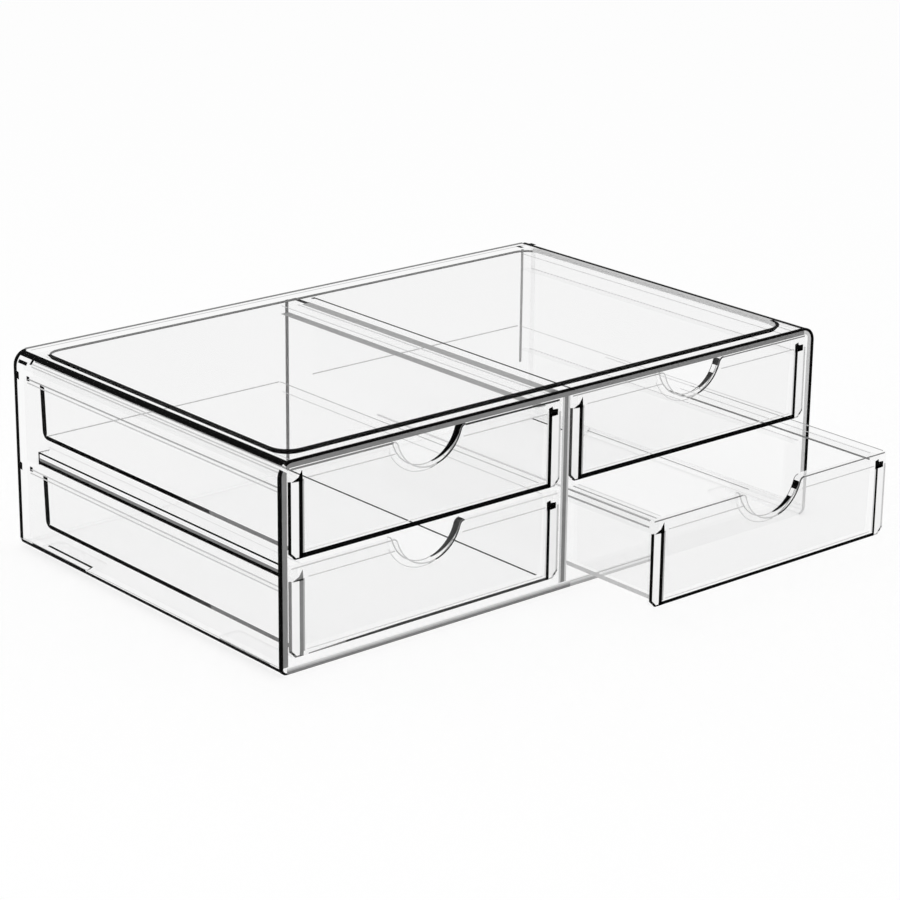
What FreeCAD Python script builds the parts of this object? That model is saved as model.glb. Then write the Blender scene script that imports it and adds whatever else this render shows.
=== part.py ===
import FreeCAD, Part
import os

import Sketcher
from FreeCAD import Vector

# A clear desk organiser: a case that is open at the front, a centre divider with slide rails, four
# drawers that hang from their rims on those rails, and four soft feet.
# Frame: X to the right, Y to the back, Z up. The origin is the middle of the underside of the case,
# which faces -Z. The feet stand out below it, and the open front of the case faces -Y.

SIZES = [
    ("case_width", 320, "outside width of the case"),
    ("case_depth", 203, "outside depth of the case"),
    ("side_wall", 4.5, "thickness of the two side walls"),
    ("back_wall", 3, "thickness of the back wall"),
    ("base_thickness", 3.4, "thickness of the base"),
    ("top_thickness", 3.2, "thickness of the top at its rim"),
    ("top_edge_radius", 7, "rounding of the two long top edges"),
    ("base_edge_radius", 3.5, "rounding of the two long bottom edges"),
    ("rear_edge_radius", 2, "rounding of the edges round the back"),
    ("tray_rim", 10.5, "flat rim round the tray in the top"),
    ("tray_depth", 1.8, "depth of the tray"),
    ("tray_radius", 9, "corner radius of the tray"),
    ("divider_thickness", 4.4, "thickness of the centre divider"),
    ("rail_reach", 5, "how far a slide rail stands out from its wall"),
    ("rail_height", 4, "height of a slide rail"),
    ("rail_start", 2.7, "distance from the case front to the front end of the rails"),
    ("slide_gap", 0.1, "running gap between a drawer rim and its rail"),
    ("side_gap", 0.8, "gap between a drawer and the walls beside it"),
    ("top_gap", 0.4, "gap between an upper drawer and the top"),
    ("front_setback", 0.2, "how far a closed drawer front lies behind the case front"),
    ("rear_gap", 0.8, "gap between a closed drawer and the back wall"),
    ("tier_gap", 3.2, "gap between an upper drawer and the one below it"),
    ("base_gap", 3.2, "gap between a lower drawer and the base"),
    ("drawer_height", 40.8, "height of a drawer"),
    ("front_thickness", 2.2, "thickness of a drawer front"),
    ("front_radius", 3, "lower corner radius of a drawer front"),
    ("panel_sink", 0.4, "how far the panel of a drawer front is sunk"),
    ("rim_height", 6, "height of the rim of a drawer"),
    ("rim_width", 6, "how far the rim stands out from the tub"),
    ("rim_plate", 2, "thickness of the top plate of the rim"),
    ("rim_skirt", 1.8, "thickness of the skirt of the rim"),
    ("rim_end_inset", 8, "distance from the back of a drawer to the rear end of its rim"),
    ("rim_radius", 4, "rear corner radius of the rim"),
    ("tub_wall", 2, "wall thickness of a drawer tub"),
    ("tub_floor", 2, "floor thickness of a drawer tub"),
    ("tub_radius", 5, "outside rear corner radius of a drawer tub"),
    ("tub_edge_radius", 4, "rounding under a drawer tub"),
    ("inner_radius", 2, "rounding along the floor inside a drawer tub"),
    ("draft_angle", 1, "draft of a drawer tub in degrees"),
    ("notch_radius", 18, "radius of the finger notch"),
    ("notch_depth", 15, "depth of the finger notch"),
    ("notch_flare", 3, "rounding where the notch meets the top edge"),
    ("notch_bead", 3.5, "width of the bead behind the finger notch"),
    ("bead_thickness", 2, "thickness of the bead behind the finger notch"),
    ("pull_out", 54, "how far the lower right drawer is pulled out"),
    ("foot_length", 40, "length of a foot"),
    ("foot_width", 12, "width of a foot"),
    ("foot_drop", 0.8, "how far a foot stands out under the base"),
    ("foot_socket", 1, "depth of the socket that holds a foot"),
    ("foot_gap", 0.1, "gap round a foot in its socket"),
    ("foot_radius", 3, "corner radius of a foot"),
    ("foot_side_inset", 4.5, "distance from a side of the case to a foot"),
    ("foot_end_inset", 11.5, "distance from the front or back of the case to a foot"),
]

os.makedirs("parts", exist_ok=True)
doc = FreeCAD.newDocument("clear_drawer_organiser")
sheet = doc.addObject("Spreadsheet::Sheet", "sizes")
for row, (alias, size, meaning) in enumerate(SIZES, 1):
    sheet.set(f"A{row}", meaning)
    sheet.set(f"B{row}", str(size))
    sheet.setAlias(f"B{row}", alias)
doc.recompute()


def from_sheet(formula):
    """The formula with every size's alias written as a reference to the sheet."""
    words = []
    for word in formula.split():
        bare = word.strip("()")
        known = any(bare == alias for alias, _, _ in SIZES)
        words.append(word.replace(bare, "sizes." + bare) if known else word)
    return " ".join(words)


# Sizes that follow from the sheet. Each is one bracket, so that it can stand inside another formula.
HALF_WIDTH = "( case_width / 2 )"
HALF_DEPTH = "( case_depth / 2 )"
CAVITY_HALF = "( case_width / 2 - side_wall )"
DIVIDER_HALF = "( divider_thickness / 2 )"
BAY_WIDTH = "( case_width / 2 - side_wall - divider_thickness / 2 )"
DRAWER_HALF = f"( {BAY_WIDTH} / 2 - side_gap )"
TUB_HALF = f"( {DRAWER_HALF} - rim_width )"
RIM_BASE = "( drawer_height - rim_height )"
DRAWER_LENGTH = "( case_depth - back_wall - rear_gap - front_setback )"
RIM_END = f"( {DRAWER_LENGTH} - rim_end_inset )"
LOWER_FLOOR = "( base_thickness + base_gap )"
UPPER_FLOOR = f"( {LOWER_FLOOR} + drawer_height + tier_gap )"
CAVITY_TOP = f"( {UPPER_FLOOR} + drawer_height + top_gap )"
CASE_HEIGHT = f"( {CAVITY_TOP} + top_thickness )"
RAIL_LENGTH = "( case_depth - rail_start - back_wall )"
MERGE = "0.5"          # how deep a rib or rail starts inside the wall that it grows from


def value(formula):
    """The number that a formula gives with the sizes in the sheet."""
    return float(sheet.evalExpression(from_sheet(formula)))


def new_body(label):
    """An empty body, named as its piece and its file are."""
    body = doc.addObject("PartDesign::Body", label)
    body.Label = label
    return body


def new_sketch(body, name, role, offset):
    """A sketch on one of the body's origin planes, moved along that plane's normal."""
    sketch = body.newObject("Sketcher::SketchObject", name)
    plane = next(item for item in body.Origin.OriginFeatures if item.Role == role)
    sketch.AttachmentSupport = [(plane, "")]
    sketch.MapMode = "FlatFace"
    sketch.setExpression("AttachmentOffset.Base.z", from_sheet(offset))
    doc.recompute()
    return sketch


def hold(sketch, kind, geometry, point, formula):
    """Hold one coordinate of a point at a formula's value, measured from the sketch's origin."""
    here = value(formula)
    if here < 0:
        rule = Sketcher.Constraint(kind, geometry, point, -1, 1, -here)
        formula = f"-1 * ( {formula} )"
    else:
        rule = Sketcher.Constraint(kind, -1, 1, geometry, point, here)
    index = sketch.addConstraint(rule)
    sketch.setExpression(f"Constraints[{index}]", from_sheet(formula))


def add_rectangle(sketch, left, right, low, high):
    """A rectangle whose four sides are held at formulas."""
    x0, x1, y0, y1 = (value(formula) for formula in (left, right, low, high))
    corners = [Vector(x0, y0, 0), Vector(x1, y0, 0), Vector(x1, y1, 0), Vector(x0, y1, 0)]
    lines = [Part.LineSegment(corners[i], corners[(i + 1) % 4]) for i in range(4)]
    first = sketch.addGeometry(lines, False)[0]
    for i in range(4):
        after = first + (i + 1) % 4
        sketch.addConstraint(Sketcher.Constraint("Coincident", first + i, 2, after, 1))
        sketch.addConstraint(Sketcher.Constraint("Vertical" if i % 2 else "Horizontal", first + i))
    hold(sketch, "DistanceX", first, 1, left)
    hold(sketch, "DistanceX", first + 1, 1, right)
    hold(sketch, "DistanceY", first, 1, low)
    hold(sketch, "DistanceY", first + 2, 1, high)


def add_segment(sketch, radius, centre, chord):
    """The part of a circle on the Y axis that lies below a level chord."""
    r, middle, level = value(radius), value(centre), value(chord)
    half = (r * r - (level - middle) ** 2) ** 0.5
    left = Vector(-half, level, 0)
    right = Vector(half, level, 0)
    arc = Part.Arc(left, Vector(0, middle - r, 0), right)
    sketch.addGeometry([arc, Part.LineSegment(right, left)], False)
    sketch.addConstraint(Sketcher.Constraint("Horizontal", 1))
    sketch.addConstraint(Sketcher.Constraint("PointOnObject", 0, 3, -2))
    left_end = 1 if sketch.getPoint(0, 1).x < 0 else 2
    sketch.addConstraint(Sketcher.Constraint("Coincident", 0, left_end, 1, 2))
    sketch.addConstraint(Sketcher.Constraint("Coincident", 0, 3 - left_end, 1, 1))
    index = sketch.addConstraint(Sketcher.Constraint("Radius", 0, r))
    sketch.setExpression(f"Constraints[{index}]", from_sheet(radius))
    hold(sketch, "DistanceY", 0, 3, centre)
    hold(sketch, "DistanceY", 1, 1, chord)


def feature(body, kind, name, sketch, length, reverse=False, taper=None):
    """A pad or pocket of a sketch, checked to have changed the volume."""
    before = body.Tip.Shape.Volume if body.Tip else 0
    result = body.newObject(kind, name)
    result.Profile = sketch
    result.Reversed = reverse
    result.setExpression("Length", from_sheet(length))
    if taper:
        result.setExpression("TaperAngle", from_sheet(taper))
    sketch.Visibility = False
    doc.recompute()
    grown = result.Shape.Volume - before
    if (grown > 0) != (kind == "PartDesign::Pad") or abs(grown) < 1:
        raise ValueError(f"{name} of {body.Label} changed the volume by {grown:.1f}")
    return result


def pad(body, name, sketch, length, reverse=False, taper=None):
    return feature(body, "PartDesign::Pad", name, sketch, length, reverse, taper)


def pocket(body, name, sketch, length, reverse=False, taper=None):
    return feature(body, "PartDesign::Pocket", name, sketch, length, reverse, taper)


def round_edges(body, name, radius, chosen):
    """Round the edges of the body's last feature for which chosen(edge) is true."""
    last = body.Tip
    names = [f"Edge{i}" for i, edge in enumerate(last.Shape.Edges, 1) if chosen(edge)]
    if not names:
        raise ValueError(f"{name} of {body.Label} finds no edge")
    result = body.newObject("PartDesign::Fillet", name)
    result.Base = (last, names)
    result.setExpression("Radius", from_sheet(radius))
    doc.recompute()
    return result


def along(edge, axis):
    """Whether an edge is straight and runs within a few degrees of an axis."""
    run = edge.Vertexes[-1].Point - edge.Vertexes[0].Point
    return abs(run.dot(axis)) > 0.99 * edge.Length


def near(a, b):
    """Whether two lengths are the same to a twentieth of a millimetre."""
    return abs(a - b) < 0.05


Y = Vector(0, 1, 0)
Z = Vector(0, 0, 1)


def add_rails(body, inner, outer):
    """Two tiers of slide rails from inner to outer on the X axis, and their mirror images."""
    sketch = new_sketch(body, "rail_sketch", "XZ_Plane", f"{HALF_DEPTH} - rail_start")
    for floor in (UPPER_FLOOR, LOWER_FLOOR):
        top = f"( {floor} + {RIM_BASE} - slide_gap )"
        low = f"( {top} - rail_height )"
        add_rectangle(sketch, inner, outer, low, top)
        add_rectangle(sketch, f"-1 * {outer}", f"-1 * {inner}", low, top)
    return pad(body, "rails", sketch, RAIL_LENGTH, reverse=True)


def foot_places():
    """Name, X side and Y side of each foot."""
    for row, y_side in (("front", -1), ("back", 1)):
        for column, x_side in (("left", -1), ("right", 1)):
            yield f"{row}_{column}_foot", x_side, y_side


def make_case_shell():
    """The case: one moulding, open at the front, with a tray in its top and rails on its side walls."""
    body = new_body("case_shell")
    sketch = new_sketch(body, "outline_sketch", "XZ_Plane", HALF_DEPTH)
    add_rectangle(sketch, f"-1 * {HALF_WIDTH}", HALF_WIDTH, "0", CASE_HEIGHT)
    pad(body, "block", sketch, "case_depth", reverse=True)

    middle = value(CASE_HEIGHT) / 2
    back = value(HALF_DEPTH)
    round_edges(body, "top_edges", "top_edge_radius",
                lambda edge: along(edge, Y) and edge.CenterOfMass.z > middle)
    round_edges(body, "base_edges", "base_edge_radius",
                lambda edge: along(edge, Y) and near(edge.CenterOfMass.z, 0))
    round_edges(body, "rear_edges", "rear_edge_radius",
                lambda edge: all(near(vertex.Y, back) for vertex in edge.Vertexes))

    sketch = new_sketch(body, "cavity_sketch", "XZ_Plane", HALF_DEPTH)
    add_rectangle(sketch, f"-1 * {CAVITY_HALF}", CAVITY_HALF, "base_thickness", CAVITY_TOP)
    pocket(body, "cavity", sketch, "case_depth - back_wall")
    add_rails(body, f"( {CAVITY_HALF} - rail_reach )", f"( {CAVITY_HALF} + {MERGE} )")

    sketch = new_sketch(body, "tray_sketch", "XY_Plane", CASE_HEIGHT)
    side, rear = f"( {HALF_WIDTH} - tray_rim )", f"( {HALF_DEPTH} - tray_rim )"
    add_rectangle(sketch, f"-1 * {side}", side, f"-1 * {rear}", rear)
    pocket(body, "tray", sketch, "tray_depth")
    tray_middle = value(f"{CASE_HEIGHT} - tray_depth / 2")
    round_edges(body, "tray_corners", "tray_radius",
                lambda edge: along(edge, Z) and near(edge.CenterOfMass.z, tray_middle))

    sketch = new_sketch(body, "socket_sketch", "XY_Plane", "0")
    for _, x_side, y_side in foot_places():
        near_x, far_x = f"{HALF_WIDTH} - foot_side_inset", f"{HALF_WIDTH} - foot_side_inset - foot_width"
        near_y, far_y = f"{HALF_DEPTH} - foot_end_inset", f"{HALF_DEPTH} - foot_end_inset - foot_length"
        xs = [f"{x_side} * ( {near_x} + foot_gap )", f"{x_side} * ( {far_x} - foot_gap )"]
        ys = [f"{y_side} * ( {near_y} + foot_gap )", f"{y_side} * ( {far_y} - foot_gap )"]
        xs.sort(key=value)
        ys.sort(key=value)
        add_rectangle(sketch, *xs, *ys)
    pocket(body, "foot_sockets", sketch, "foot_socket", reverse=True)
    socket_middle = value("foot_socket / 2")
    round_edges(body, "socket_corners", "foot_radius + foot_gap",
                lambda edge: along(edge, Z) and near(edge.CenterOfMass.z, socket_middle))
    return body


def make_divider():
    """The centre divider: an upright plate bonded between base, top and back, with rails both sides."""
    body = new_body("centre_divider")
    sketch = new_sketch(body, "plate_sketch", "XZ_Plane", HALF_DEPTH)
    add_rectangle(sketch, f"-1 * {DIVIDER_HALF}", DIVIDER_HALF, "base_thickness", CAVITY_TOP)
    pad(body, "plate", sketch, "case_depth - back_wall", reverse=True)
    add_rails(body, f"( {DIVIDER_HALF} - {MERGE} )", f"( {DIVIDER_HALF} + rail_reach )")
    return body


def make_foot(label, x_side, y_side):
    """A soft rounded foot, glued in its socket under a corner of the case."""
    body = new_body(label)
    sketch = new_sketch(body, "foot_sketch", "XY_Plane", "-1 * foot_drop")
    add_rectangle(sketch, "foot_width / -2", "foot_width / 2", "foot_length / -2", "foot_length / 2")
    pad(body, "pad", sketch, "foot_drop + foot_socket")
    round_edges(body, "corners", "foot_radius", lambda edge: along(edge, Z))
    x = f"{x_side} * ( {HALF_WIDTH} - foot_side_inset - foot_width / 2 )"
    y = f"{y_side} * ( {HALF_DEPTH} - foot_end_inset - foot_length / 2 )"
    body.setExpression("Placement.Base.x", from_sheet(x))
    body.setExpression("Placement.Base.y", from_sheet(y))
    return body


def make_drawer(label, x_side, floor, opening):
    """One drawer, a single moulding. Its own frame: X across, Y back from the front face, Z up."""
    body = new_body(label)
    half, rear, rim_end = value(DRAWER_HALF), value(DRAWER_LENGTH), value(RIM_END)

    sketch = new_sketch(body, "tub_sketch", "XY_Plane", "drawer_height")
    add_rectangle(sketch, f"-1 * {TUB_HALF}", TUB_HALF, "panel_sink", DRAWER_LENGTH)
    pad(body, "tub", sketch, "drawer_height", reverse=True, taper="-1 * draft_angle")
    round_edges(body, "tub_corners", "tub_radius",
                lambda edge: along(edge, Z) and edge.CenterOfMass.y > rear / 2)
    round_edges(body, "tub_edges", "tub_edge_radius",
                lambda edge: near(edge.CenterOfMass.z, 0) and edge.CenterOfMass.y > rear / 4)

    sketch = new_sketch(body, "front_sketch", "XZ_Plane", "0")
    add_rectangle(sketch, f"-1 * {DRAWER_HALF}", DRAWER_HALF, "0", "drawer_height")
    pad(body, "front", sketch, "front_thickness", reverse=True)
    round_edges(body, "front_corners", "front_radius",
                lambda edge: along(edge, Y) and near(abs(edge.CenterOfMass.x), half)
                and near(edge.CenterOfMass.z, 0))

    sketch = new_sketch(body, "rim_sketch", "XY_Plane", RIM_BASE)
    add_rectangle(sketch, f"-1 * {DRAWER_HALF}", DRAWER_HALF, f"front_thickness - {MERGE}", RIM_END)
    pad(body, "rim", sketch, "rim_height")
    round_edges(body, "rim_corners", "rim_radius",
                lambda edge: along(edge, Z) and near(abs(edge.CenterOfMass.x), half)
                and near(edge.CenterOfMass.y, rim_end))

    sketch = new_sketch(body, "channel_sketch", "XY_Plane", RIM_BASE)
    skirt = f"( {DRAWER_HALF} - rim_skirt )"
    for left, right in ((TUB_HALF, skirt), (f"-1 * {skirt}", f"-1 * {TUB_HALF}")):
        add_rectangle(sketch, left, right, "front_thickness", f"{RIM_END} - rim_radius")
    pocket(body, "channels", sketch, "rim_height - rim_plate", reverse=True)

    sketch = new_sketch(body, "inside_sketch", "XY_Plane", "drawer_height")
    inside = f"( {TUB_HALF} - tub_wall )"
    add_rectangle(sketch, f"-1 * {inside}", inside, "front_thickness", f"{DRAWER_LENGTH} - tub_wall")
    pocket(body, "inside", sketch, "drawer_height - tub_floor", taper="-1 * draft_angle")
    floor_level = value("tub_floor")
    round_edges(body, "inside_corners", "tub_radius - tub_wall",
                lambda edge: along(edge, Z) and edge.CenterOfMass.y > rear / 2
                and near(edge.BoundBox.ZMin, floor_level))
    round_edges(body, "inside_edges", "inner_radius",
                lambda edge: near(edge.BoundBox.ZMin, floor_level)
                and near(edge.BoundBox.ZMax, floor_level))

    notch_centre = "( drawer_height - notch_depth + notch_radius )"
    sketch = new_sketch(body, "bead_sketch", "XZ_Plane", f"{MERGE} - front_thickness")
    add_segment(sketch, "notch_radius + notch_bead", notch_centre, "drawer_height")
    pad(body, "notch_bead", sketch, f"bead_thickness + {MERGE}", reverse=True)
    sketch = new_sketch(body, "notch_sketch", "XZ_Plane", "0")
    add_segment(sketch, "notch_radius", notch_centre, "drawer_height + 1")
    pocket(body, "notch", sketch, "front_thickness + bead_thickness + 1")
    top = value("drawer_height")
    mouth = value("sqrt( notch_radius ^ 2 - ( notch_radius - notch_depth ) ^ 2 )")
    round_edges(body, "notch_flare", "notch_flare",
                lambda edge: along(edge, Y) and near(edge.CenterOfMass.z, top)
                and near(abs(edge.CenterOfMass.x), mouth))

    sketch = new_sketch(body, "panel_sketch", "XZ_Plane", "0")
    add_rectangle(sketch, f"-1 * {TUB_HALF}", TUB_HALF, "front_radius", RIM_BASE)
    pocket(body, "sunk_panel", sketch, "panel_sink")

    middle = f"( {CAVITY_HALF} + {DIVIDER_HALF} ) / 2"
    body.setExpression("Placement.Base.x", from_sheet(f"{x_side} * {middle}"))
    body.setExpression("Placement.Base.y", from_sheet(f"front_setback - {HALF_DEPTH} - {opening}"))
    body.setExpression("Placement.Base.z", from_sheet(floor))
    return body


def write_parts():
    """Check every object and write one STEP file per body."""
    doc.recompute()
    for item in doc.Objects:
        if "Invalid" in item.State or "Error" in item.State:
            raise ValueError(f"{item.Label} is {item.State}")
    for body in doc.findObjects("PartDesign::Body"):
        shape = body.Shape
        if shape.isNull() or not shape.isValid() or len(shape.Solids) != 1:
            raise ValueError(f"{body.Label} is not one valid solid")
        shape.exportStep(f"parts/{body.Label}.step")
        print(body.Label, round(shape.Volume), shape.BoundBox)


make_case_shell()
make_divider()
for foot in foot_places():
    make_foot(*foot)
make_drawer("upper_left_drawer", -1, UPPER_FLOOR, "0")
make_drawer("upper_right_drawer", 1, UPPER_FLOOR, "0")
make_drawer("lower_left_drawer", -1, LOWER_FLOOR, "0")
make_drawer("lower_right_drawer", 1, LOWER_FLOOR, "pull_out")
write_parts()
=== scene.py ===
import bpy
import bmesh
import math
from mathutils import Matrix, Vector


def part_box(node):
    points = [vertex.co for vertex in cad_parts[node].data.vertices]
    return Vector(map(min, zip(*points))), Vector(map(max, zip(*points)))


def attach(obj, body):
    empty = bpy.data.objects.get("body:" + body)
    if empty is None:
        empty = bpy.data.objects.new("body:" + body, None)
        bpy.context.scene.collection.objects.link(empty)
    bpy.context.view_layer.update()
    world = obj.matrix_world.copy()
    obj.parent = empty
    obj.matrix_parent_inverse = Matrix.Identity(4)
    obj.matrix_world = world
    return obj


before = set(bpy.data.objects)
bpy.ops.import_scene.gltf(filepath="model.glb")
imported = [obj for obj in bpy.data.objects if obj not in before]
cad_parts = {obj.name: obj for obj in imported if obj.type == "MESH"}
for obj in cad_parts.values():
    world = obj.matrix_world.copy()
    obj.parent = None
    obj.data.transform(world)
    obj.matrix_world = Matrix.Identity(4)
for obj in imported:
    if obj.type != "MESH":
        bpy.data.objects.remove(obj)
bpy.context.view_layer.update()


# The table top and the light round it: a plain white surface under an even, soft studio light.
# The organiser stands on its four pads, so the surface lies at the pads' undersides.
# The camera looks down on the left front corner through a long lens.
def linear(hex_colour):
    """An sRGB colour such as #f3f3f3 as linear red, green, blue and alpha."""
    parts = [int(hex_colour[i:i + 2], 16) / 255 for i in (1, 3, 5)]
    return [c / 12.92 if c <= 0.04045 else ((c + 0.055) / 1.055) ** 2.4 for c in parts] + [1]


def add(tree, kind, links=(), **settings):
    """A node in tree, its settings made on sockets or on the node, and its sockets linked to sources."""
    node = tree.nodes.new(kind)
    for name, value in settings.items():
        socket = name.replace("_", " ").title()
        if socket in node.inputs:
            node.inputs[socket].default_value = value
        else:
            setattr(node, name, value)
    for socket, source in links:
        tree.links.new(source, node.inputs[socket])
    return node


def new_material(name):
    """An empty node material and its tree."""
    material = bpy.data.materials.new(name)
    material.use_nodes = True
    material.node_tree.nodes.clear()
    return material, material.node_tree


def seen_plain(tree):
    """1 for a ray from the camera, off a gloss or through a clear face, all of which see plain white."""
    ray = add(tree, "ShaderNodeLightPath")
    seen = ray.outputs["Is Camera Ray"]
    for kind in ("Is Glossy Ray", "Is Transmission Ray"):
        either = add(tree, "ShaderNodeMath", [(0, seen), (1, ray.outputs[kind])], operation="MAXIMUM")
        seen = either.outputs[0]
    return seen


scene = bpy.context.scene
scene.view_settings.view_transform = "Standard"
scene.cycles.transparent_max_bounces = 64

camera = bpy.data.objects.new("camera", bpy.data.cameras.new("camera"))
scene.collection.objects.link(camera)
camera.location = (-0.839555, -1.002660, 0.488144)
camera.rotation_euler = [math.radians(angle) for angle in (71.0649, -0.6196, -40.3645)]
camera.data.lens = 116.71
camera.data.sensor_width = 36
camera.data.clip_end = 50
scene.camera = camera

world = bpy.data.worlds.new("white studio")
world.use_nodes = True
scene.world = world
sky = world.node_tree
sky.nodes.clear()
level = add(sky, "ShaderNodeMapRange", [("Value", seen_plain(sky))], to_min=0.9, to_max=1.0)
light = add(sky, "ShaderNodeBackground", [("Strength", level.outputs[0])], color=linear("#ffffff"))
add(sky, "ShaderNodeOutputWorld", [("Surface", light.outputs[0])])

softbox = bpy.data.objects.new("softbox", bpy.data.lights.new("softbox", "AREA"))
scene.collection.objects.link(softbox)
softbox.data.shape = "RECTANGLE"
softbox.data.size = 1.6
softbox.data.size_y = 1.2
softbox.data.energy = 4.0
softbox.location = (-0.9, -0.4, 1.7)
softbox.rotation_euler = (Vector((0, 0, 0)) - softbox.location).to_track_quat("-Z", "Y").to_euler()

table_half = 3.0
table_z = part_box("front_left_foot")[0].z
table_mesh = bpy.data.meshes.new("table_top")
table_corners = [(x * table_half, y * table_half, table_z) for x, y in ((-1, -1), (1, -1), (1, 1), (-1, 1))]
table_mesh.from_pydata(table_corners, [], [(0, 1, 2, 3)])
table_top = bpy.data.objects.new("table_top", table_mesh)
scene.collection.objects.link(table_top)
white_table, tree = new_material("matt white table top")
white_share = 0.75
share = add(tree, "ShaderNodeMath", [(0, seen_plain(tree))], operation="MULTIPLY")
share.inputs[1].default_value = white_share
matt = add(tree, "ShaderNodeBsdfDiffuse", color=linear("#ffffff"))
glow = add(tree, "ShaderNodeEmission", color=linear("#ffffff"), strength=1.0)
both = add(tree, "ShaderNodeMixShader", [(0, share.outputs[0]), (1, matt.outputs[0]), (2, glow.outputs[0])])
add(tree, "ShaderNodeOutputMaterial", [("Surface", both.outputs[0])])
table_mesh.materials.append(white_table)


# Case shell: the outer case in moulded clear polystyrene, with a shallow tray in its top, slide rails on
# its side walls and an open front. Its long edges are rounded. A clear wall shows little of itself; the dark
# lines at its edges are painted shade in thin opaque strips, with paler painted lines where a wall is seen
# from inside.
def make_clear(name, passes, flow_mm=30, dense=None, dense_y=0):
    """Clear moulded plastic: lets through `passes` at each face and has a weak gloss with faint flow marks.

    In front of dense_y, in mm, it is a little denser and lets through `dense`."""
    material, tree = new_material(name)
    place = add(tree, "ShaderNodeTexCoord")
    flow = add(tree, "ShaderNodeTexNoise", [("Vector", place.outputs["Object"])],
               scale=1000 / flow_mm, detail=2.0, roughness=0.4)
    rough = add(tree, "ShaderNodeMapRange", [("Value", flow.outputs[0])], to_min=0.02, to_max=0.07)
    through = add(tree, "ShaderNodeBsdfTransparent", color=[passes] * 3 + [1])
    if dense:
        split = add(tree, "ShaderNodeSeparateXYZ", [("Vector", place.outputs["Object"])])
        ahead = add(tree, "ShaderNodeMath", [(0, split.outputs["Y"])], operation="LESS_THAN")
        ahead.inputs[1].default_value = dense_y / 1000
        tint = add(tree, "ShaderNodeMix", [("Factor", ahead.outputs[0])], data_type="RGBA")
        tint.inputs[6].default_value, tint.inputs[7].default_value = [passes] * 3 + [1], [dense] * 3 + [1]
        tree.links.new(tint.outputs[2], through.inputs["Color"])
    gloss = add(tree, "ShaderNodeBsdfGlossy", [("Roughness", rough.outputs[0])], color=linear("#ffffff"))
    # a little under polystyrene's 1.59, and a small share of its gloss, on outer faces only
    index, gloss_share = 1.49, 0.015
    mirror = add(tree, "ShaderNodeFresnel")
    mirror.inputs["IOR"].default_value = index
    facing = add(tree, "ShaderNodeNewGeometry")
    outside = add(tree, "ShaderNodeMapRange", [("Value", facing.outputs["Backfacing"])],
                  to_min=gloss_share, to_max=0.0)
    weak = add(tree, "ShaderNodeMath", [(0, mirror.outputs[0]), (1, outside.outputs[0])],
               operation="MULTIPLY")
    both = add(tree, "ShaderNodeMixShader",
               [(0, weak.outputs[0]), (1, through.outputs[0]), (2, gloss.outputs[0])])
    add(tree, "ShaderNodeOutputMaterial", [("Surface", both.outputs[0])])
    return material


def make_painted_edge_shade(name, dark, light, streak_mm=12, glow=0.0):
    """Painted edge shade: an opaque tone standing in for the dark or bright line that refraction gives a
    moulded edge, in two close tones in faint streaks, with a low gloss and, through glow, a painted glow.
    """
    material, tree = new_material(name)
    place = add(tree, "ShaderNodeTexCoord")
    streak = add(tree, "ShaderNodeTexNoise", [("Vector", place.outputs["Object"])],
                 scale=1000 / streak_mm, detail=3.0)
    tone = add(tree, "ShaderNodeMix", [("Factor", streak.outputs[0])], data_type="RGBA")
    for i, colour in ((6, dark), (7, light)):
        tone.inputs[i].default_value = linear(colour)
    body = add(tree, "ShaderNodeBsdfPrincipled", [("Base Color", tone.outputs[2])], roughness=0.6)
    body.inputs["Specular IOR Level"].default_value = 0.02
    body.inputs["Emission Color"].default_value = linear("#ffffff")
    body.inputs["Emission Strength"].default_value = glow
    add(tree, "ShaderNodeOutputMaterial", [("Surface", body.outputs[0])])
    return material


# Painted light and shade for the clear plastic's edges: black to pale are painted shade standing in for the
# lines refraction draws at the edges, white is a painted highlight for bright rims, and fill, for the strips'
# backs, glows a little as painted light.
PAINTED_EDGE_SHADES = {
    "black": make_painted_edge_shade("moulded polystyrene, painted shade, black edge line", "#000000", "#060606"),
    "dark": make_painted_edge_shade("moulded polystyrene, painted shade, dark edge line", "#3c3c3c", "#464646"),
    "smoky": make_painted_edge_shade("moulded polystyrene, painted shade, smoky band", "#7e7e7e", "#888888"),
    "grey": make_painted_edge_shade("moulded polystyrene, painted shade, grey line", "#a8a8a8", "#b0b0b0"),
    "silver": make_painted_edge_shade("moulded polystyrene, painted shade, silver line", "#c8c8c8", "#cecece"),
    "pale": make_painted_edge_shade("moulded polystyrene, painted shade, pale line", "#dcdcdc", "#e0e0e0"),
    "white": make_painted_edge_shade("moulded polystyrene, painted highlight, bright rim", "#fcfcfc", "#ffffff"),
    "fill": make_painted_edge_shade("moulded polystyrene, glowing painted fill, back of an edge", "#f8f8f8", "#fafafa", glow=0.1),
}
PAINTED_EDGE_SHADE_NAMES = list(PAINTED_EDGE_SHADES)
SKIN = 0.04         # mm of plastic over a strip
FLAT_THICK = 0.1    # mm, how deep a flat band goes


def listed(value, count):
    """value for each of count points: one vector for all, or already a list of them."""
    if isinstance(value, list):
        return [Vector(v) for v in value]
    return [Vector(value)] * count


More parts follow.
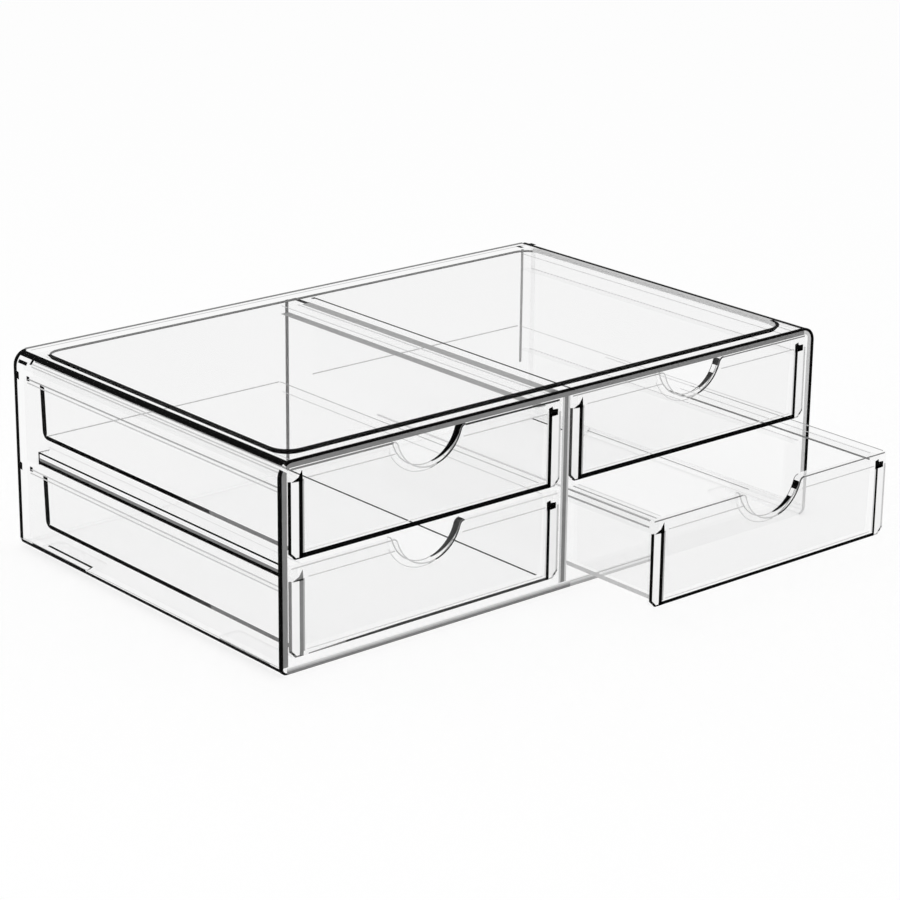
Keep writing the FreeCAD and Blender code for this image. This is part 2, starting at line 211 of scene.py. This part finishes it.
def strip(bm, path, first, second, tone, back="fill", brim=None):
    """A thin three-sided strip of painted edge shade along path, in mm, just under the skin of the plastic.

    first and second lead from the path's edge across its two outer faces, which take tone and brim. The
    face between their ends is seen from inside the wall and takes back."""
    path = [Vector(p) for p in path]
    rings = []
    for p, a, b in zip(path, listed(first, len(path)), listed(second, len(path))):
        under = (a.normalized() + b.normalized()) * SKIN
        rings.append([bm.verts.new((q + under) / 1000) for q in (p, p + a, p + b)])
    tone, back, brim = [PAINTED_EDGE_SHADE_NAMES.index(name) for name in (tone, back, brim or tone)]
    for now, then in zip(rings, rings[1:]):
        for i, j, shade in ((0, 1, tone), (2, 0, brim), (1, 2, back)):
            bm.faces.new((now[i], now[j], then[j], then[i])).material_index = shade
    for end in (rings[0], rings[-1]):
        bm.faces.new(end).material_index = tone


def flat(bm, path, first, inward, tone, back="fill"):
    """A band lying in one face: first leads across it and inward points into the plastic."""
    strip(bm, path, first, Vector(inward).normalized() * FLAT_THICK, tone, back)


def edge_piece(name, bm, body):
    """The finished strips as one piece that rides on a body."""
    bmesh.ops.recalc_face_normals(bm, faces=bm.faces)
    mesh = bpy.data.meshes.new(name)
    bm.to_mesh(mesh)
    bm.free()
    for material in PAINTED_EDGE_SHADES.values():
        mesh.materials.append(material)
    piece = bpy.data.objects.new(name, mesh)
    scene.collection.objects.link(piece)
    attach(piece, body)


def turn(centre, radius, start, stop, steps=8):
    """Points on an arc in the x-z plane round centre, from start to stop degrees, 0 along +X."""
    angles = [math.radians(start + (stop - start) * i / steps) for i in range(steps + 1)]
    return [(centre[0] + radius * math.cos(a), centre[1] + radius * math.sin(a)) for a in angles]


low, high = [corner * 1000 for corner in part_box("case_shell")]
side_x, front_y, rear_y, top_z = high.x, low.y, high.y, high.z
wall, back_wall, base, top_plate = 4.5, 3.0, 3.4, 3.2
top_round, bottom_round, rear_round = 7.0, 3.5, 2.0
tray_x, tray_y, tray_depth, tray_corner = 149.5, 91.0, 1.8, 9.0
rail_reach, rail_height, rail_front = 5.0, 4.0, -98.8
rail_tops = (85.3, 41.3)

clear_case = make_clear("moulded clear polystyrene, case walls", 0.98)
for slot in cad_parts["case_shell"].material_slots:
    slot.material = clear_case

bm = bmesh.new()

# front outline, a painted dark shade line: round the left bottom corner, up the left wall, over the top and
# down the right wall
low_left_centre = (-side_x + bottom_round, bottom_round)
low_right_centre = (side_x - bottom_round, bottom_round)
top_left_centre = (-side_x + top_round, top_z - top_round)
top_right_centre = (side_x - top_round, top_z - top_round)
low_left = turn(low_left_centre, bottom_round, 270, 180, 4)
left = turn(top_left_centre, top_round, 180, 90)
right = turn(top_right_centre, top_round, 90, 0)
low_right = turn(low_right_centre, bottom_round, 360, 270, 4)


def around(points, centre, sizes):
    """Vectors from the points of an arc towards its centre, their lengths running through sizes."""
    start, end = sizes
    steps = len(points) - 1
    return [Vector((centre[0] - x, 0, centre[1] - z)).normalized() * (start + (end - start) * i / steps)
            for i, (x, z) in enumerate(points)]


def outline_in(left_size, top_size, right_size):
    """For each point of the outline the vector to the inside of the front, thinner at the bottom corners."""
    thin = 0.6
    return (around(low_left, low_left_centre, (left_size * thin, left_size))
            + around(left, top_left_centre, (left_size, top_size))
            + around(right, top_right_centre, (top_size, right_size))
            + around(low_right, low_right_centre, (right_size, right_size * thin)))


def in_wall(start, step):
    """The step from start across the front, cut short where it would leave the wall for the opening."""
    end = start + step
    over_x, over_z = side_x - wall - abs(end.x), top_z - top_plate - end.z
    if min(over_x, over_z) > 0:
        end += Vector((math.copysign(over_x, end.x), 0, 0)) if over_x < over_z else Vector((0, 0, over_z))
    return end - start


# the painted shade line is broken in the top left corner, and painted pale on the right wall below pale_z
outline = low_left + left + right + low_right
rim_in = outline_in(left_size=1.5, top_size=1.1, right_size=2.1)
band_in = outline_in(left_size=2.6, top_size=2.1, right_size=2.4)
rim_deep = 1.0
wall_start, broken, right_corner = len(low_left) - 1, len(low_left) + 4, len(low_left) + len(left)
pale_start, pale_z = len(outline) - len(low_right), 22.0
outline.insert(pale_start, (side_x, pale_z))
for steps in (rim_in, band_in):
    steps.insert(pale_start, steps[pale_start])
for first, last, tone in ((0, broken, "black"), (broken + 1, pale_start + 1, "black"),
                          (pale_start, len(outline), "pale")):
    strip(bm, [(x, front_y, z) for x, z in outline[first:last]], rim_in[first:last], (0, rim_deep, 0), tone,
          brim="black")
# painted shade band inside the dark line: smoky up the left wall and along the top, silver down the right one
edge = [Vector((x, front_y, z)) + v for (x, z), v in zip(outline, rim_in)]
band_in = [in_wall(start, step) for start, step in zip(edge, band_in)]
for first, last, tone in ((wall_start, broken, "smoky"), (broken + 1, right_corner + 1, "smoky"),
                          (right_corner, pale_start + 1, "silver")):
    flat(bm, edge[first:last], band_in[first:last], (0, 1, 0), tone)

# base front, painted shade: grey at the bottom edge, fading upwards and rightwards into painted white, and
# ending under the lower right drawer
base_lengths = (-(side_x - bottom_round), 5, 23, 60)
for z, height, tones in ((0, 1.3, ("smoky", "grey", "pale")),
                         (1.3, 0.6, ("grey", "silver", "white")),
                         (1.9, 0.5, ("silver", "pale", "white")),
                         (2.4, 0.5, ("pale", "silver", "silver")),
                         (2.9, 0.5, ("white", "white", "white"))):
    for a, b, tone in zip(base_lengths, base_lengths[1:], tones):
        flat(bm, [(a, front_y, z), (b, front_y, z)], (0, 0, height), (0, 1, 0), tone)

round_inset = 0.12      # mm, so that a flat band stays under the skin of a rounded edge
front_lip = 1.2         # mm of the top edge before its bands start
# the painted black shade band on the top beside the right edge
crest_start, crest_width = 1.5, 1.6     # a band on the top beside the right edge
rail_line_end = rear_y - back_wall - 3
# the painted dark shade at each rail's rear end
rail_tail_y, shell_tail_y = rear_y - 5.6, rear_y - 2.6      # a rail's dark rear end, inside and outside
for side in (-1, 1):
    # rounded long edge at the top: painted shade, a dark band of two facets and two faint lines under it
    middle = Vector((side * (side_x - top_round), 0, top_z - top_round))

    def rounded(degrees):
        """A point just inside the top edge's skin, so many degrees from its crest."""
        a = math.radians(degrees)
        return middle + Vector((side * math.sin(a), 0, math.cos(a))) * (top_round - round_inset)

    for start, stop, tone, end in ((14 if side < 0 else 0, 28, "black", rear_round),
                                   (28, 42, "black", rear_round),
                                   (55, 60, "silver", 16), (65, 70, "silver", 16)):
        a, b = rounded(start), rounded(stop)
        ends = (front_y + front_lip, rear_y - end)
        flat(bm, [a + Vector((0, y, 0)) for y in ends], b - a, middle - a, tone)
    if side > 0:
        flat(bm, [(middle.x - crest_start, y, top_z) for y in (front_y + front_lip, rear_y - 3)],
             (crest_width, 0, 0), (0, 0, -1), "black")
    # rounded long edge at the bottom: painted dark shade bands and a faint painted line
    heel = Vector((side * (side_x - bottom_round), 0, bottom_round))

    def under_edge(degrees):
        """A point just inside the bottom edge's skin, so many degrees below its side."""
        a = math.radians(degrees)
        return heel + Vector((side * math.cos(a), 0, -math.sin(a))) * (bottom_round - round_inset)

    for start, stop, tone in ((4, 38, "black"), (38, 72, "black"), (-10, -5, "silver")):
        a, b = under_edge(start), under_edge(stop)
        flat(bm, [a + Vector((0, y, 0)) for y in (front_y + 0.2, rear_y - rear_round)], b - a, heel - a, tone)
    # rear outline, a painted dark shade line: up the wall and round into the top
    hair, rear_broad, rear_thick = 0.02, 2.6, 0.8
    arc = turn(top_left_centre, top_round - hair, 180, 98)
    path = [(-side_x + hair, bottom_round)] + arc
    inward = [Vector((-side * rear_thick, 0, 0))]
    inward += [Vector((-side * v.x, 0, v.z)) for v in around(arc, top_left_centre, (rear_thick, rear_thick))]
    strip(bm, [(-side * x, rear_y - rear_round + 0.2, z) for x, z in path], (0, -rear_broad, 0), inward,
          "black")
    # painted dark shade marks where the rounded edge ends at the back
    for start, stop, ends in ((58, 72, (-5.0, -12.0)), (42, 62, (-14.0, -15.6))):
        a, b = rounded(start), rounded(stop)
        flat(bm, [a + Vector((0, rear_y + y, 0)) for y in ends], b - a, middle - a, "black")
    # slide rails, painted shade: the lower edge of each, and on the left a faint line under it and its dark
    # rear end
    x = side * (side_x - wall)
    for rail_top, tone in zip(rail_tops, ("grey", "silver")):
        z = rail_top - rail_height
        lines = ((0, 0.7, tone), (1.9, 0.6, "silver")) if side < 0 else ((0, 0.4, "pale"),)
        for drop, height, shade in lines:
            flat(bm, [(x, rail_front, z - drop), (x, rail_line_end, z - drop)], (0, 0, height), (side, 0, 0),
                 shade, shade)
        if side < 0:
            flat(bm, [(-side_x, shell_tail_y, z + 1.4), (-side_x, shell_tail_y, rail_top + 1)],
                 (0, -3.4, -0.6), (1, 0, 0), "black")
            flat(bm, [(x, rail_tail_y, z - 0.6), (x, rail_tail_y, z + 1.6)], (0, -2.2, 0), (-1, 0, 0),
                 "black", "black")

# rear edges, painted shade lines: the top one, a faint line in front of it, the rear right corner, two marks
# and the bottom one
top_ends = (-side_x + top_round, side_x - top_round)
bottom_ends = (-side_x + bottom_round, side_x - bottom_round)
top_broad, faint_y, faint_width = 2.2, rear_y - 5.6, 0.9
strip(bm, [(x, rear_y - 0.8, top_z - 0.15) for x in top_ends], (0, 0.5, -0.9), (0, -top_broad, 0), "smoky",
      "smoky")
flat(bm, [(x, faint_y, top_z) for x in top_ends], (0, -faint_width, 0), (0, 0, -1), "silver")
corner_x, corner_width, corner_low = side_x - 8.9, 1.6, 30
flat(bm, [(corner_x, rear_y - back_wall, z) for z in (corner_low, top_z - top_plate)], (corner_width, 0, 0),
     (0, 1, 0), "grey", "grey")
mark_y, mark_width, mark_length = 96.0, 2.2, 4.0
for x in (145.0, 153.6):
    flat(bm, [(x, mark_y, top_z), (x + mark_width, mark_y, top_z)], (0, -mark_length, 0), (0, 0, -1), "black")
strip(bm, [(x, rear_y - 0.7, 0.1) for x in bottom_ends], (0, 0.6, 0.9), (0, -0.7, 0), "smoky", "fill", "pale")

# tray wall, painted shade: dark where it is seen through the rim, grey where it is seen from the tray, thin
# at the back
corners = [(-1, 1, 90), (-1, -1, 180), (1, -1, 270), (1, 1, 0)]
arcs = []
for x_side, y_side, start in corners:
    centre = (x_side * (tray_x - tray_corner), y_side * (tray_y - tray_corner))
    arcs.append([(Vector((x, y, top_z)), Vector((x - centre[0], y - centre[1], 0)).normalized())
                 for x, y in turn(centre, tray_corner, start, start + 90, 6)])
for run, height, width, tone, back, brim in (
        (arcs[0][5:] + arcs[1] + arcs[2], 2.2, 1.9, "silver", "black", "black"),
        (arcs[2][-1:] + arcs[3][:3], tray_depth, 2.0, "silver", "black", "silver"),
        (arcs[3][2:] + arcs[0][:6], 1.0, 0.4, "smoky", "smoky", "smoky")):
    drop = Vector((0, 0, max(0, tray_depth - height)))
    strip(bm, [p - drop for p, _ in run], (0, 0, -height), [out * width for _, out in run], tone, back, brim)

edge_piece("case_shell_edges", bm, "case")


# Centre divider: an upright wall of the same clear polystyrene between the drawers, bonded between the top,
# the base and the back, with slide rails on both faces. Its edges are painted as grey shade bands, and so is
# the top of its upper left rail.
divider_half = 2.2
clear_inner = make_clear("moulded clear polystyrene, inner walls", 0.998)
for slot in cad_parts["centre_divider"].material_slots:
    slot.material = clear_inner

bm = bmesh.new()
inner_top, inner_back = top_z - top_plate, rear_y - back_wall
# sizes of painted shade: the darker back of the top edge, and the lines at the back wall, the rear edge and
# the rail
dark_length, dark_half = 11, 0.4    # mm of the top edge, at the back
wall_line, rear_line, rail_gap = 2.4, 2.0, 8
# front edge, painted shade: a smoky middle between two silver sides
side_band = 1.1
for x, width, tone in ((-divider_half, side_band, "silver"), (-divider_half + side_band, 2.2, "smoky"),
                       (divider_half - side_band, side_band, "silver")):
    flat(bm, [(x, front_y, base), (x, front_y, inner_top)], (width, 0, 0), (0, 1, 0), tone)
# top edge, painted darker at the back, and the painted shade line where it meets the back wall
flat(bm, [(-divider_half, front_y, inner_top), (-divider_half, inner_back - dark_length, inner_top)],
     (2 * divider_half, 0, 0), (0, 0, -1), "grey")
flat(bm, [(-dark_half, inner_back - dark_length, inner_top), (-dark_half, inner_back, inner_top)],
     (divider_half + dark_half, 0, 0), (0, 0, -1), "dark")
flat(bm, [(-divider_half, inner_back - 0.2, inner_top), (divider_half, inner_back - 0.2, inner_top)],
     (0, -wall_line, 0), (0, 0, -1), "black")
# rear edge and the top of the upper left rail, in painted shade bands
flat(bm, [(-divider_half, inner_back, base), (-divider_half, inner_back, inner_top)], (-rear_line, 0, 0),
     (0, 1, 0), "smoky", "smoky")
flat(bm, [(-divider_half, rail_front + rail_gap, rail_tops[0]), (-divider_half, inner_back, rail_tops[0])],
     (-rail_reach, 0, 0), (0, 0, -1), "grey")
edge_piece("centre_divider_edges", bm, "case")


# Drawers: four alike, each one moulding in clear polystyrene. A sunk front panel with a scooped finger notch,
# a tub behind it, and a rim that hangs on the slide rails. The tub's corners are painted as dark uprights of
# shade in the front, and the lugs beside them get white painted highlight bands.
drawer_half, tub_half, drawer_length, draft = 75.85, 69.85, 199.0, 0.6
front_plate, rim_drop, rim_end, tub_wall, tub_floor = 2.2, 6.0, 191.0, 2.0, 2.0
notch_radius, notch_depth, notch_flare, bead_depth, bead_width = 18.0, 15.0, 3.0, 2.0, 3.5

# passes, dense and deep_y are the plastic, its front and how deep that goes. The others set painted shade
# lines: near and far are the uprights at the tub's left and right corners, lug the left lug's edge, bottom
# and top the front's edges, left the tub's left rear upright, inner_rim the left one of the rim's inner
# edges, floor the tub's right floor edge, back its rear bottom edge, cut the notch's crescent, blobs the
# shares of it that are dark, and rim the rim's outer edges.
drawer_looks = {
    "upper_left_drawer": dict(
        passes=0.998, dense=0.976, deep_y=3, near="black", far="black", far_width=2.0, lug="black",
        bottom="black", deep=2.2, top=("smoky", "dark", 0.9), left="black", inner_rim="pale", floor="grey",
        back="silver", cut="black", blobs=[(0, 1)], rim="silver"),
    "upper_right_drawer": dict(
        passes=0.998, dense=0.976, deep_y=3, near="black", far="black", far_width=1.8, lug="dark",
        bottom="black", deep=2.2, top=("grey", "smoky", 0.6), left=None, inner_rim="dark", floor="silver",
        back="silver", cut="dark", blobs=[(0.1, 0.45), (0.55, 0.8)], rim="silver"),
    "lower_left_drawer": dict(
        passes=0.998, dense=0.976, deep_y=3, near="smoky", far="black", far_width=1.7, lug="smoky",
        bottom="dark", deep=1.4, top=("silver", "pale", 0.6), left="black", inner_rim="pale", floor="dark",
        back=None, cut="dark", blobs=[(0, 1)], rim="black"),
    "lower_right_drawer": dict(
        passes=0.997, dense=0.979, deep_y=57, near="black", far="black", far_width=1.4, lug="black",
        bottom="black", deep=1.6, top=("smoky", "smoky", 0.6), left="silver", inner_rim="silver",
        floor="smoky", back=None, cut="black", blobs=[(0, 0.35), (0.5, 0.7)], rim="grey"),
}
# the lower right drawer stands out of the case: how far behind its front the painted shade lines of its rim
# stay strong on the left and the right, and where its painted floor edge line starts
strong_left, strong_right, floor_start = 56, 129, 76
# sizes of the painted shade lines on a drawer's front
thin_bottom, taper_length = 1.5, 24     # a bottom edge thinner than this tapers towards the left
near_width, lap = 2.0, 0.8              # an upright's width, and how far it laps over the tub's side
lug_edge, lug_turn, lug_deep = 1.1, 3, 0.8      # the line round a lug: its width, its cut corner, its depth
line = 0.5                              # a thin line's width
# the rim's corner above each lug, from the tub's corner: a painted dark shade wedge on the left, a painted
# dark shade block on the right
wedge = [(-4.6, -0.4), (1.4, -0.8), (1.0, 4.2), (-1.0, 1.2)]
block = [(-1.2, -1.5), (4.2, -1.3), (4.2, 1.6), (1.2, 1.8), (0.8, 3.2), (-1.4, 2.6)]


def from_centre(points, centre):
    """Unit vectors from centre to the points of an arc."""
    return [Vector((x - centre[0], 0, z - centre[1])).normalized() for x, z in points]


for drawer, look in drawer_looks.items():
    low, high = [corner * 1000 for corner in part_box(drawer)]
    clear_drawer = make_clear("moulded clear polystyrene, " + drawer.replace("_", " "), look["passes"],
                              dense=look["dense"], dense_y=low.y + look["deep_y"])
    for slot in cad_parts[drawer].material_slots:
        slot.material = clear_drawer
    middle = (low.x + high.x) / 2
    front, rear, under, rim = low.y, high.y, low.z, high.z
    tub_left, tub_right, panel_top = middle - tub_half, middle + tub_half, rim - rim_drop
    stands_out = drawer == "lower_right_drawer"
    bm = bmesh.new()

    # front, painted shade: bottom edge with a pale line over it, uprights at the tub's corners, painted white
    # highlight bands on the lugs, and the lugs' outer edges
    deep, start = look["deep"], tub_left
    if deep < thin_bottom:
        start = tub_left + taper_length
        flat(bm, [(tub_left + 4, front, under), (start, front, under)], [(0, 0, 0.5), (0, 0, 1.0)], (0, 1, 0),
             "smoky")
        flat(bm, [(start, front, under), (start + 30, front, under), (tub_right, front, under)],
             [(0, 0, 1.0), (0, 0, deep), (0, 0, deep)], (0, 1, 0), look["bottom"])
    else:
        flat(bm, [(start, front, under), (tub_right, front, under)], (0, 0, deep), (0, 1, 0), look["bottom"])
    over = under + deep + 0.8
    flat(bm, [(tub_left + 3, front, over), (tub_right - 3, front, over)], (0, 0, line), (0, 1, 0), "pale")
    for side, x, tone, width, shade, lug in (
            (1, tub_left, look["near"], near_width, "grey", look["lug"]),
            (-1, tub_right, look["far"], look["far_width"], "pale", "silver")):
        flat(bm, [(x - side * lap, front, under), (x - side * lap, front, panel_top)], (side * width, 0, 0),
             (0, 1, 0), tone)
        inner = x + side * (width - lap)
        flat(bm, [(inner, front, under + 2), (inner, front, panel_top)], (side * 0.8, 0, 0), (0, 1, 0), shade)
        outer = middle - side * drawer_half
        flat(bm, [(outer + side * lug_edge, front, under + 1.5), (outer + side * lug_edge, front, panel_top)],
             (side * (drawer_half - tub_half - lug_edge - lap), 0, 0), (0, 1, 0), "white")
        strip(bm, [(outer, front, under + lug_turn), (outer, front, panel_top)], (side * lug_edge, 0, 0),
              (0, lug_deep, 0), lug)
        strip(bm, [(outer, front, under + lug_turn), (outer + side * lug_turn, front, under)],
              (side * 0.5, 0, 0.8), (0, lug_deep, 0), lug)
        flat(bm, [(outer + side * lug_turn, front, under), (x, front, under)], (0, 0, 0.7), (0, 1, 0), lug)
    for corner_x, shape, tone in ((tub_left, wedge, look["near"]), (tub_right, block, look["far"])):
        face = [bm.verts.new(Vector((corner_x + x, front + SKIN, panel_top + z)) / 1000) for x, z in shape]
        bm.faces.new(face).material_index = PAINTED_EDGE_SHADE_NAMES.index(tone)

    # painted shade: thin line at the panel's top, left and right of the notch, and the top edge of the front
    flare_x = math.sqrt((notch_radius + notch_flare) ** 2 - (notch_radius - notch_depth + notch_flare) ** 2)
    for a, b in ((tub_left + 4, middle - notch_radius - 1), (middle + notch_radius + 1, tub_right - 2)):
        flat(bm, [(a, front, panel_top), (b, front, panel_top)], (0, 0, line), (0, 1, 0), "silver")
    left_tone, right_tone, width = look["top"]
    for a, b, tone in ((middle - drawer_half + 1, middle - flare_x, left_tone),
                       (middle + flare_x, middle + drawer_half - 1, right_tone)):
        flat(bm, [(a, front, rim - 0.1), (b, front, rim - 0.1)], (0, 0, -width), (0, 1, 0), tone)

    # notch: flared at the top; its cut is painted dark shade on the right and faint on the left
    scoop_centre = (middle, rim - notch_depth + notch_radius)
    left_centre, right_centre = (middle - flare_x, rim - notch_flare), (middle + flare_x, rim - notch_flare)
    tilt = math.degrees(math.atan2(notch_radius - notch_depth + notch_flare, flare_x))
    scoop = turn(scoop_centre, notch_radius, 180 + tilt, 360 - tilt, 24)
    left_flare = turn(left_centre, notch_flare, 90, tilt, 5)
    right_flare = turn(right_centre, notch_flare, 180 - tilt, 90, 5)
    cut = left_flare + scoop + right_flare
    out = ([-v for v in from_centre(left_flare, left_centre)] + from_centre(scoop, scoop_centre)
           + [-v for v in from_centre(right_flare, right_centre)])
    first_dark = next(i for i, (x, z) in enumerate(cut) if x > middle + 2)
    thick = front_plate + bead_depth
    faint, dark = slice(0, first_dark + 1), slice(first_dark, len(cut))
    for part, near_tone, far_tone in ((faint, "silver", "silver"), (dark, "dark", "smoky")):
        path = [Vector((x, front, z)) for x, z in cut[part]]
        away = out[part]
        strip(bm, path, [v * 0.6 for v in away], (0, 0.3, 0), near_tone, near_tone)
        strip(bm, [p + Vector((0, thick, 0)) for p in path], [v * 0.5 for v in away], (0, -0.3, 0), far_tone,
              far_tone)
    # crescent: painted dark shade on the far side of the cut, growing towards the right, and a painted grey
    # line in front of it
    path = [Vector((x, front + thick - 0.1, z)) for x, z in cut[dark]]
    count = len(path) - 1
    narrow, growth, rate = 0.8, 2.8, 1.8
    width = [narrow + growth * min(1, rate * i / count) for i in range(count + 1)]
    sunk = [v * 0.1 for v in out[dark]]
    for start, stop in look["blobs"]:
        a, b = round(start * count), round(stop * count) + 1
        strip(bm, path[a:b], [Vector((0, -w, 0)) for w in width[a:b]], sunk[a:b], look["cut"], look["cut"])
    strip(bm, [p - Vector((0, w, 0)) for p, w in zip(path, width)], (0, -0.4, 0), sunk, "grey", "grey")
    # bead behind the notch, in painted shade lines
    bead = turn(scoop_centre, notch_radius + bead_width, 205, 340, 20)
    for share, tone in ((slice(0, 12), "pale"), (slice(11, 21), "grey")):
        flat(bm, [(x, front + thick, z) for x, z in bead[share]],
             [-v * 0.4 for v in from_centre(bead[share], scoop_centre)], (0, -1, 0), tone, tone)

    # tub: the left rear upright in painted shade, which turns the corner into the left bottom edge and pales
    # forwards
    if look["left"]:
        # set in by x_in and y_in, broad on the wall and tall at the floor, turning at a radius of heel
        x_in, y_in, broad, tall, heel = 0.6, 0.9, 4.6, 2.4, 4.0
        black_end, dark_end, front_end = 81, 66, 3      # mm behind the front
        path = [(middle - (tub_half - x_in), rear - y_in, panel_top - 8.5)]
        across, into = [Vector((-x_in, -broad, 0))], [Vector((1, -0.3, 0))]
        steps = 6
        for i in range(steps + 1):
            t, a = i / steps, math.radians(90 / steps * i)
            path.append((middle - (tub_half - draft - x_in), rear - y_in - heel * (1 - math.cos(a)),
                         under + heel + 0.2 - heel * math.sin(a)))
            across.append(Vector((-x_in, -broad * math.cos(a), tall * math.sin(a))))
            into.append(Vector((1, -0.3 * (1 - t), 0.6 * t)))
        heel_x, _, heel_z = path[-1]
        path.append((heel_x, front + black_end, heel_z))
        across.append(across[-1])
        into = [v * 0.1 for v in into + into[-1:]]
        if look["left"] == "black":
            strip(bm, path, across, into, "black")
            lengths = ((black_end, dark_end, "dark"), (dark_end, front_end, "smoky"))
        else:
            lengths = ((62, front_end, look["left"]),)
        for a, b, tone in lengths:
            strip(bm, [(heel_x, front + y, heel_z) for y in (a, b)], across[-1], into[-1], tone)
    # the rim's inner edges, painted shade lines
    for side, tone, strong in ((-1, look["inner_rim"], strong_left), (1, "silver", strong_right)):
        inner = middle + side * (tub_half - tub_wall)
        stop = strong if stands_out else drawer_length - tub_wall - 3
        flat(bm, [(inner, front + front_plate + 1, rim), (inner, front + stop, rim)],
             (side * (1.3 if tone == "dark" else line), 0, 0), (0, 0, -1), tone)
        if tone == "dark":
            flat(bm, [(inner, rear - tub_wall - 3, rim), (inner, rear - tub_wall - 1, rim)],
                 (side * 2.4, 0, 0), (0, 0, -1), "black")
    # the right floor edge and the rear bottom edge, painted shade lines
    floor_x, floor_z = middle + tub_half - tub_wall - 0.6, under + tub_floor
    ahead = floor_start if stands_out else 2
    flat(bm, [(floor_x, front + front_plate + ahead, floor_z), (floor_x, rear - 5, floor_z)],
         (-1.3 if look["floor"] == "dark" else -0.7, 0, 0), (0, 0, -1), look["floor"])
    if look["back"]:
        flat(bm, [(x, rear - tub_wall, under + 0.6) for x in (tub_left + 1.5, tub_right - 1.5)], (0, 0, 0.6),
             (0, 1, 0), look["back"])
    # on the lower right drawer, a painted smoky shade line along the right tub wall
    if stands_out:
        wall_x, wall_line_z, wall_line_end = middle + tub_half - tub_wall, rim - 3.6, front + 137
        flat(bm, [(wall_x, front + front_plate + 1, wall_line_z), (wall_x, wall_line_end, wall_line_z)],
             (0, 0, 0.9), (1, 0, 0), "smoky")

    # rim: painted shade lines on the edges of its top plate and skirt
    outer_left, outer_right = middle - drawer_half, middle + drawer_half
    ends = (front + front_plate, front + rim_end)
    if look["rim"] == "silver":
        for side, outer, tone in ((-1, outer_left, "grey"), (1, outer_right, "silver")):
            strip(bm, [(outer, y, rim) for y in ends], (-side * 0.6, 0, 0), (0, 0, -0.6), tone)
    elif look["rim"] == "black":
        strip(bm, [(outer_left, y, rim) for y in ends], (0.5, 0, 0), (0, 0, -0.6), "black")
        flat(bm, [(outer_left, y, panel_top + 0.2) for y in ends], (0, 0, 1.7), (1, 0, 0), "black")
        flat(bm, [(outer_left, y, panel_top + 1.9) for y in ends], (0, 0, 1.4), (1, 0, 0), "smoky")
        strip(bm, [(outer_left, ends[1], z) for z in (panel_top, rim)], (0, -1.0, 0), (0.8, 0, 0), "black")
        strip(bm, [(outer_left, ends[1], rim), (tub_left, ends[1], rim)], (0, -0.8, 0), (0, 0, -0.8), "dark")
    else:
        for side, outer, strong in ((-1, outer_left, strong_left), (1, outer_right, strong_right)):
            for a, b, tone in ((ends[0], front + strong, "grey"), (front + strong, ends[1], "pale")):
                strip(bm, [(outer, y, rim) for y in (a, b)], (-side * 0.9, 0, 0), (0, 0, -0.5), tone)
            if side < 0:
                near_ends = (ends[0], front + strong)
                flat(bm, [(outer + 4.0, y, rim) for y in near_ends], (0.8, 0, 0), (0, 0, -1), "grey", "grey")
                flat(bm, [(outer, y, rim - 3.8) for y in near_ends], (0, 0, 0.9), (1, 0, 0), "grey", "grey")
    edge_piece(drawer + "_edges", bm, drawer)


# Feet: four soft pads of clear thermoplastic rubber, each bonded in a shallow socket under the base.
# Each is painted as a shade line at the case's side, and the rear sockets are painted dark shade through the
# wall.
soft_clear = make_clear("soft clear thermoplastic rubber, pads", 0.985, 8)
socket_x, socket_turn_x = 152.5, 155.3
for foot in ("front_left_foot", "front_right_foot", "back_left_foot", "back_right_foot"):
    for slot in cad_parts[foot].material_slots:
        slot.material = soft_clear
    low, high = [corner * 1000 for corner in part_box(foot)]
    bm = bmesh.new()
    rear_foot = foot.startswith("back")
    outer, side = (low.x, -1) if low.x < 0 else (high.x, 1)
    strip(bm, [(outer, low.y + 2, low.z), (outer, high.y - 2, low.z)], (-side * 0.6, 0, 0), (0, 0, 1.4),
          "black" if rear_foot else "grey")
    if rear_foot:
        flat(bm, [(side * (side_x - round_inset), y, bottom_round + 0.4) for y in (low.y + 2, high.y)],
             (-side * 1.5, 0, -2.9), (-side, 0, 1), "black")
        flat(bm, [(side * socket_x, high.y - 2, high.z), (side * socket_x, low.y + 2, high.z),
                  (side * socket_turn_x, low.y + 0.6, high.z)], (-side * 1.3, 0, 0), (0, 0, -1), "black")
    edge_piece(foot + "_edges", bm, "case")
